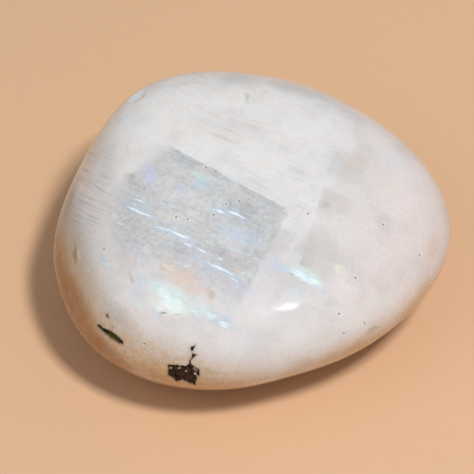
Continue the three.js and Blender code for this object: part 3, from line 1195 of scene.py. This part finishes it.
def milk_layers(tree, place, heart, settings):
    """Clouds in the milk a few millimetres wide, its fine mottle, and the hairlines of the twin layers."""
    side = crystal_mask(tree, place, TWINNED_SIDE)
    crown = combined(tree, "MULTIPLY", (crystal_mask(tree, place, TWINNED_CROWN), CROWN_TWINS))
    twinned = combined(tree, "MAXIMUM", (side, crown, OTHER_TWINS))
    uneven = patches(tree, place, *TWIN_BANDS)
    sheets = along_sheets(tree, place, heart, settings.twin_spacing / METRES_PER_MM, TWIN_LENGTH)
    cloud = add_node(tree, "ShaderNodeTexNoise", {"Vector": sheets, "Scale": TWIN_STEPS}).outputs["Fac"]
    hairlines = []
    for colour, contrast, (start, full) in (
        (settings.parting, settings.twin_contrast, DARK_TWINS),
        (settings.bright, LIGHT_CONTRAST, LIGHT_TWINS),
    ):
        shown = add_node(tree, "ShaderNodeMapRange", {"Value": cloud, "From Min": start, "From Max": full})
        mask = combined(tree, "MULTIPLY", (twinned, uneven, contrast, shown.outputs["Result"]))
        hairlines.append((colour, mask))
    return [
        *mottle_layers(tree, place, heart, settings, MILK_MOTTLE),
        (settings.bright, patches(tree, wavering(tree, place, *FLECK_WAVER), *MILK_FLECKS)),
        *hairlines,
    ]


def painted_shade_bounce_and_dirt_layers(tree, place, settings):
    """Painted shade on the left rim, painted warm bounce light near the ground and on the lower left side, painted
    shade with warm bounce light on the lower left flank, and specks of dirt on that side.
    """
    height = add_node(tree, "ShaderNodeSeparateXYZ", {0: place}).outputs["Z"]
    low = {"Value": height, "From Min": SKIRT_TOP, "From Max": SKIRT_FULL, "To Max": SKIRT_BOUNCE_SHARE}
    skirt = add_node(tree, "ShaderNodeMapRange", low, interpolation_type="SMOOTHSTEP").outputs["Result"]
    flank, side = (
        combined(tree, "MAXIMUM", [crystal_mask(tree, place, (plane,)) for plane in planes])
        for planes in (SHADED_FLANK, BOUNCE_LIT_SIDE)
    )
    specks = (patches(tree, place, *DIRT_SPECKS), patches(tree, place, *DIRTY_AREAS))
    # The first four layers are painted shade and painted warm bounce light; the last is dirt.
    layers = (
        (settings.smoke, (crystal_mask(tree, place, SHADED_LEFT_RIM), RIM_SHADE_SHARE)),
        (settings.tan, (skirt, patches(tree, place, *SKIRT_BLOTCHES))),
        (settings.tan, (side, patches(tree, place, *SIDE_BLOTCHES), SIDE_BOUNCE_SHARE)),
        (settings.ochre, (flank, patches(tree, place, *FLANK_BLOTCHES), FLANK_SHADE_SHARE)),
        (settings.moss, (side, *specks, SPECK_SHARE)),
    )
    return [(colour, combined(tree, "MULTIPLY", masks)) for colour, masks in layers]


def veil_layers(tree, place, heart, settings):
    """Where the layers flash, with reflected light painted in, thin out or hold a stain; and painted shade, warm
    bounce light and light on the rims. The veils that flash are broken into flakes.
    """
    place = wavering(tree, place, *VEIL_WAVER)
    flakes = along_sheets(tree, place, heart, *FLAKE_SHEETS)
    mosaic = add_node(tree, "ShaderNodeTexVoronoi", {"Vector": flakes, "Scale": 1.0})
    chances = add_node(tree, "ShaderNodeSeparateColor", {0: mosaic.outputs["Color"]})
    layers = []
    for number, (name, marks) in enumerate(VEILS.items()):
        share = soft = soft_share(tree, place, marks, heart)
        if name in FLAKY:
            chance = {"Value": chances.outputs[number % 3], "To Min": FAINTEST_FLAKE}
            flake = add_node(tree, "ShaderNodeMapRange", chance)
            share = combined(tree, "MULTIPLY", (soft, flake.outputs["Result"]))
        layers.append((getattr(settings, name), share))
        if name == "mint":
            streaks = along_sheets(tree, place, heart, *SHIMMER_SHEETS)
            shimmer = add_node(tree, "ShaderNodeTexNoise", {"Vector": streaks, "Scale": 1.0, "Detail": 2.0})
            for colour, full in ((settings.sky, 0.5 - SHIMMER_RISE), (settings.silver, 0.5 + SHIMMER_RISE)):
                rise = {"Value": shimmer.outputs["Fac"], "From Min": 0.5, "From Max": full}
                shown = add_node(tree, "ShaderNodeMapRange", rise).outputs["Result"]
                layers.append((colour, combined(tree, "MULTIPLY", (soft, shown, SHIMMER_SHARE))))
    return layers


def crack_layers(tree, place, heart, settings):
    """Dark partings, silver cracks with a blue glow and fine hairs beside them, and ring-shaped bruises."""
    streaks = along_sheets(tree, place, heart, *HAIR_SHEETS)
    cloud = add_node(tree, "ShaderNodeTexNoise", {"Vector": streaks, "Scale": 1.0, "Detail": 2.0})
    low, high = NOISE_SPAN
    spread = {"Value": cloud.outputs["Fac"], "From Min": low, "From Max": high, "To Min": -FRAY, "To Max": FRAY}
    frayed = add_node(tree, "ShaderNodeMapRange", spread, clamp=False).outputs["Result"]

    partings = mark_level(tree, place, DARK_PARTINGS, heart, SHALLOW)
    torn = add_node(tree, "ShaderNodeMath", {0: partings, 1: frayed}, operation="ADD").outputs[0]
    torn = {0: torn, 1: partings, 2: TORN_SOFTNESS}
    torn = add_node(tree, "ShaderNodeMath", torn, operation="SMOOTH_MIN").outputs[0]
    # Beside the cracks, these marks hold the painted highlight on the chip's facet.
    cracks = mark_level(tree, place, SILVER_CRACKS_AND_CHIP_GLINT, heart, SHALLOW)
    near = {"Value": cracks, "From Min": GLOW_START, "From Max": GLOW_FULL}
    near = add_node(tree, "ShaderNodeMapRange", near).outputs["Result"]
    split = {0: near, 1: frayed, 2: cracks}
    split = add_node(tree, "ShaderNodeMath", split, operation="MULTIPLY_ADD").outputs[0]
    bruises = mark_level(tree, wavering(tree, place, *BRUISE_WAVER), BRUISES, heart, SHALLOW)
    from_rim = add_node(tree, "ShaderNodeMath", {0: bruises, 1: BRUISE_RIM}, operation="SUBTRACT").outputs[0]
    from_rim = add_node(tree, "ShaderNodeMath", {0: from_rim}, operation="ABSOLUTE").outputs[0]

    layers = []
    for colour, level, (start, full, most) in (
        (settings.parting, torn, TORN_PARTING),
        (settings.sky, near, CRACK_GLOW),
        (settings.smoke, bruises, BRUISE_HOLLOW),
        (settings.silver, from_rim, BRUISE_RING),
        (settings.silver, split, SPLIT_CRACK),
    ):
        rise = {"Value": level, "From Min": start, "From Max": full, "To Max": most}
        layers.append((colour, add_node(tree, "ShaderNodeMapRange", rise).outputs["Result"]))
    return layers


def mineral_layers(tree, place, heart, settings):
    """The dark mineral in the pits, the brown stain around it, and dirt in the pores; and the mineral's mask."""
    edge = add_node(tree, "ShaderNodeAttribute", attribute_name="mineral_edge").outputs["Fac"]
    grains = [(settings.rust, patches(tree, place, *RUST_GRAINS))]
    for colour, marks, full in (
        (settings.olive, OLIVE_STRETCH, OLIVE_FULL),
        (settings.gleam, OLIVE_GLEAM, OLIVE_FULL),
        (settings.grain, PALE_GRAINS, GRAIN_FULL),
    ):
        level = mark_level(tree, place, marks, heart, DEEP)
        grain = add_node(tree, "ShaderNodeMapRange", {"Value": level, "From Max": full})
        grains.append((colour, grain.outputs["Result"]))
    mineral = layered(tree, settings.mineral, grains)
    stain = {"Value": edge, "From Min": 0.0, "From Max": IRON_REACH, "To Min": IRON_SHARE, "To Max": 0.0}
    stain = add_node(tree, "ShaderNodeMapRange", stain, interpolation_type="SMOOTHERSTEP").outputs["Result"]
    pore_middle = add_node(tree, "ShaderNodeAttribute", attribute_name="pore_middle").outputs["Fac"]
    fades = []
    for distance, full, end, share in (
        (edge, *MINERAL_RIM),
        (pore_middle, *PORE_DIRT),
        (pore_middle, *PORE_RING),
    ):
        fade = {"Value": distance, "From Min": full, "From Max": end, "To Min": share, "To Max": 0.0}
        fades.append(add_node(tree, "ShaderNodeMapRange", fade).outputs["Result"])
    is_mineral, dirt, ring = fades
    layers = [(settings.iron, stain), (settings.bright, ring), (mineral, is_mineral), (settings.mineral, dirt)]
    return layers, is_mineral


def moonstone_material(settings, heart):
    """Tumbled moonstone: orthoclase feldspar with albite layers, tumbled to a soft polish.

    The milk is cloudy and lets light in, flat crystals show as straight-sided patches, and thin layers flash
    blue and silver. The dark mineral in the pits is a brown mica, dull and broken.
    """
    material, tree, surface = new_material("Tumbled moonstone")
    texture = add_node(tree, "ShaderNodeTexCoord")
    scale_up = {0: texture.outputs["Object"], "Scale": 1 / METRES_PER_MM}
    place = add_node(tree, "ShaderNodeVectorMath", scale_up, operation="SCALE").outputs[0]
    # Crystal sides and cracks aren't ruled lines.
    wavered = wavering(tree, place, *CRYSTAL_WAVER)
    mineral, is_mineral = mineral_layers(tree, wavered, heart, settings)
    colour = layered(
        tree,
        settings.milk,
        [
            *crystal_layers(tree, wavered, heart, settings),
            *window_layers(tree, wavered, heart, settings),
            *milk_layers(tree, place, heart, settings),
            *painted_shade_bounce_and_dirt_layers(tree, wavered, settings),
            *veil_layers(tree, wavered, heart, settings),
            *crack_layers(tree, wavered, heart, settings),
            *mineral,
        ],
    )
    duller = patches(tree, place, *DULL_PATCHES)
    polish = add_node(tree, "ShaderNodeMath", {0: duller, 1: settings.roughness}, operation="ADD").outputs[0]
    either = {0: is_mineral, 2: polish, 3: MINERAL_ROUGHNESS}
    roughness = add_node(tree, "ShaderNodeMix", either, data_type="FLOAT").outputs[0]
    grit = combined(tree, "MULTIPLY", (patches(tree, place, *GRIT), is_mineral, GRIT_HEIGHT))
    relief = {0: patches(tree, place, *RIPPLES), 1: RIPPLE_HEIGHT, 2: grit}
    relief = add_node(tree, "ShaderNodeMath", relief, operation="MULTIPLY_ADD").outputs[0]
    bump = add_node(tree, "ShaderNodeBump", {"Height": relief, "Distance": METRES_PER_MM})
    shader = add_node(
        tree,
        "ShaderNodeBsdfPrincipled",
        {
            "Base Color": colour,
            "Roughness": roughness,
            "IOR": FELDSPAR_IOR,
            "Normal": bump.outputs[0],
            "Subsurface Weight": settings.milkiness,
            "Subsurface Radius": INNER_TINT,
            "Subsurface Scale": settings.light_depth,
        },
    )
    tree.links.new(shader.outputs[0], surface)
    return material


# ------------------------------------------------------------------ the stage


def card_material(settings):
    """Uncoated card: matt, with a faint fibre mottle."""
    material, tree, surface = new_material("Matt card")
    texture = add_node(tree, "ShaderNodeTexCoord")
    place = texture.outputs["Object"]
    fibre = add_node(tree, "ShaderNodeTexNoise", {"Vector": place, "Scale": FIBRES_PER_METRE, "Detail": 4.0})
    shade = tuple(FIBRE_SHADE * channel for channel in settings.floor)
    low, high = NOISE_SPAN
    rise = {"Value": fibre.outputs["Fac"], "From Min": low, "From Max": high, "To Max": FIBRE_SHARE}
    faint = add_node(tree, "ShaderNodeMapRange", rise).outputs["Result"]
    colour = layered(tree, settings.floor, ((shade, faint),))
    shader = add_node(tree, "ShaderNodeBsdfPrincipled", {"Base Color": colour, "Roughness": CARD_ROUGHNESS})
    tree.links.new(shader.outputs[0], surface)
    return material


def add_area_light(name, place, target, size, power):
    """A rectangular light at a place, turned to a target, both in millimetres."""
    light = bpy.data.lights.new(name, "AREA")
    light.shape = "RECTANGLE"
    light.size = size[0] * METRES_PER_MM
    light.size_y = size[1] * METRES_PER_MM
    light.energy = power
    lamp = bpy.data.objects.new(name, light)
    lamp.location = Vector(place) * METRES_PER_MM
    lamp.rotation_euler = (Vector(target) - Vector(place)).to_track_quat("-Z", "Y").to_euler()
    bpy.context.scene.collection.objects.link(lamp)
    return lamp


def add_camera():
    """The camera, whose frame gives the pixels that the markings are placed by."""
    camera = bpy.data.cameras.new("Camera")
    camera.sensor_width = SENSOR_WIDTH
    camera.lens = SENSOR_WIDTH * CAMERA_DISTANCE / FRAME_WIDTH
    camera.clip_start = NEAREST_SEEN * METRES_PER_MM
    view = bpy.data.objects.new("Camera", camera)
    lift = math.radians(CAMERA_ELEVATION)
    back = Vector((0, -math.cos(lift), math.sin(lift)))
    view.location = (CAMERA_TARGET + back * CAMERA_DISTANCE) * METRES_PER_MM
    view.rotation_euler = (math.pi / 2 - lift, 0, 0)
    bpy.context.scene.collection.objects.link(view)
    bpy.context.scene.camera = view


class MOONSTONE_OT_pebble(bpy.types.Operator):
    """Makes the pebble with its pits, pores and chip, and its moonstone material"""

    bl_idname = "moonstone.pebble"
    bl_label = "Make the Pebble"
    bl_options = {"REGISTER", "UNDO"}

    def execute(self, context):
        mesh, heart = pebble_mesh()
        pebble = bpy.data.objects.new("Pebble", mesh)
        context.scene.collection.objects.link(pebble)
        mesh.materials.append(moonstone_material(context.scene.moonstone_pebble, heart))
        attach(pebble, "root")
        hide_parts(NODE)
        return {"FINISHED"}


class MOONSTONE_OT_stage(bpy.types.Operator):
    """Sets up the camera, a matt floor and soft studio light"""

    bl_idname = "moonstone.stage"
    bl_label = "Set the Stage"
    bl_options = {"REGISTER", "UNDO"}

    def execute(self, context):
        settings = context.scene.moonstone_stage
        add_camera()
        context.scene.view_settings.view_transform = "Standard"
        card = bmesh.new()
        bmesh.ops.create_grid(card, x_segments=1, y_segments=1, size=FLOOR_SIDE / 2 * METRES_PER_MM)
        mesh = bpy.data.meshes.new("Card")
        card.to_mesh(mesh)
        card.free()
        floor = bpy.data.objects.new("Card", mesh)
        mesh.materials.append(card_material(settings))
        context.scene.collection.objects.link(floor)

        middle = np.array((0, 0, HEART_HEIGHT))
        key = middle + unit(*KEY_FROM) * KEY_DISTANCE
        lamp = add_area_light("Key", key, middle, (KEY_SIZE, KEY_SIZE), settings.key_power)
        lamp.visible_glossy = False
        fill = middle + unit(*FILL_FROM) * KEY_DISTANCE
        add_area_light("Fill", fill, middle, (FILL_SIZE, FILL_SIZE), settings.fill_power)
        heart = heart_in_frame(unit_sphere())
        spot = skin_hits((GLINT_PIXEL,), heart)[0]
        sight = sight_lines((GLINT_PIXEL,))[1][0]
        facing = skin_facing(spot / np.linalg.norm(spot))
        mirrored = sight - 2 * (sight @ facing) * facing
        glint = spot + heart + mirrored * KEY_DISTANCE
        lamp = add_area_light("Glint", glint, spot + heart, GLINT_SIZE, settings.glint_power)
        lamp.visible_diffuse = False

        world = bpy.data.worlds.new("Surroundings")
        world.use_nodes = True
        world.node_tree.nodes.clear()
        glow = {"Color": settings.sky, "Strength": settings.sky_strength}
        background = add_node(world.node_tree, "ShaderNodeBackground", glow)
        output = add_node(world.node_tree, "ShaderNodeOutputWorld")
        world.node_tree.links.new(background.outputs[0], output.inputs["Surface"])
        context.scene.world = world
        return {"FINISHED"}


def unit_sphere():
    """Unit vectors spread evenly over a sphere."""
    ball = bmesh.new()
    bmesh.ops.create_icosphere(ball, subdivisions=SPHERE_DETAIL, radius=1)
    directions = corner_directions(ball)
    ball.free()
    return directions


class MOONSTONE_PT_panel(bpy.types.Panel):
    """Lists the pebble's and the stage's settings"""

    bl_label = "Moonstone"
    bl_idname = "MOONSTONE_PT_panel"
    bl_space_type = "VIEW_3D"
    bl_region_type = "UI"
    bl_category = "Moonstone"

    def draw(self, context):
        for settings, operator in (
            (context.scene.moonstone_pebble, MOONSTONE_OT_pebble),
            (context.scene.moonstone_stage, MOONSTONE_OT_stage),
        ):
            box = self.layout.box()
            for name in settings.__annotations__:
                box.prop(settings, name)
            box.operator(operator.bl_idname)


CLASSES = (PebbleSettings, StageSettings, MOONSTONE_OT_pebble, MOONSTONE_OT_stage, MOONSTONE_PT_panel)


def register():
    for cls in CLASSES:
        bpy.utils.register_class(cls)
    bpy.types.Scene.moonstone_pebble = bpy.props.PointerProperty(type=PebbleSettings)
    bpy.types.Scene.moonstone_stage = bpy.props.PointerProperty(type=StageSettings)


def unregister():
    del bpy.types.Scene.moonstone_stage
    del bpy.types.Scene.moonstone_pebble
    for cls in reversed(CLASSES):
        bpy.utils.unregister_class(cls)


def main():
    register()
    bpy.ops.moonstone.stage()
    bpy.ops.moonstone.pebble()


if __name__ == "__main__":
    main()
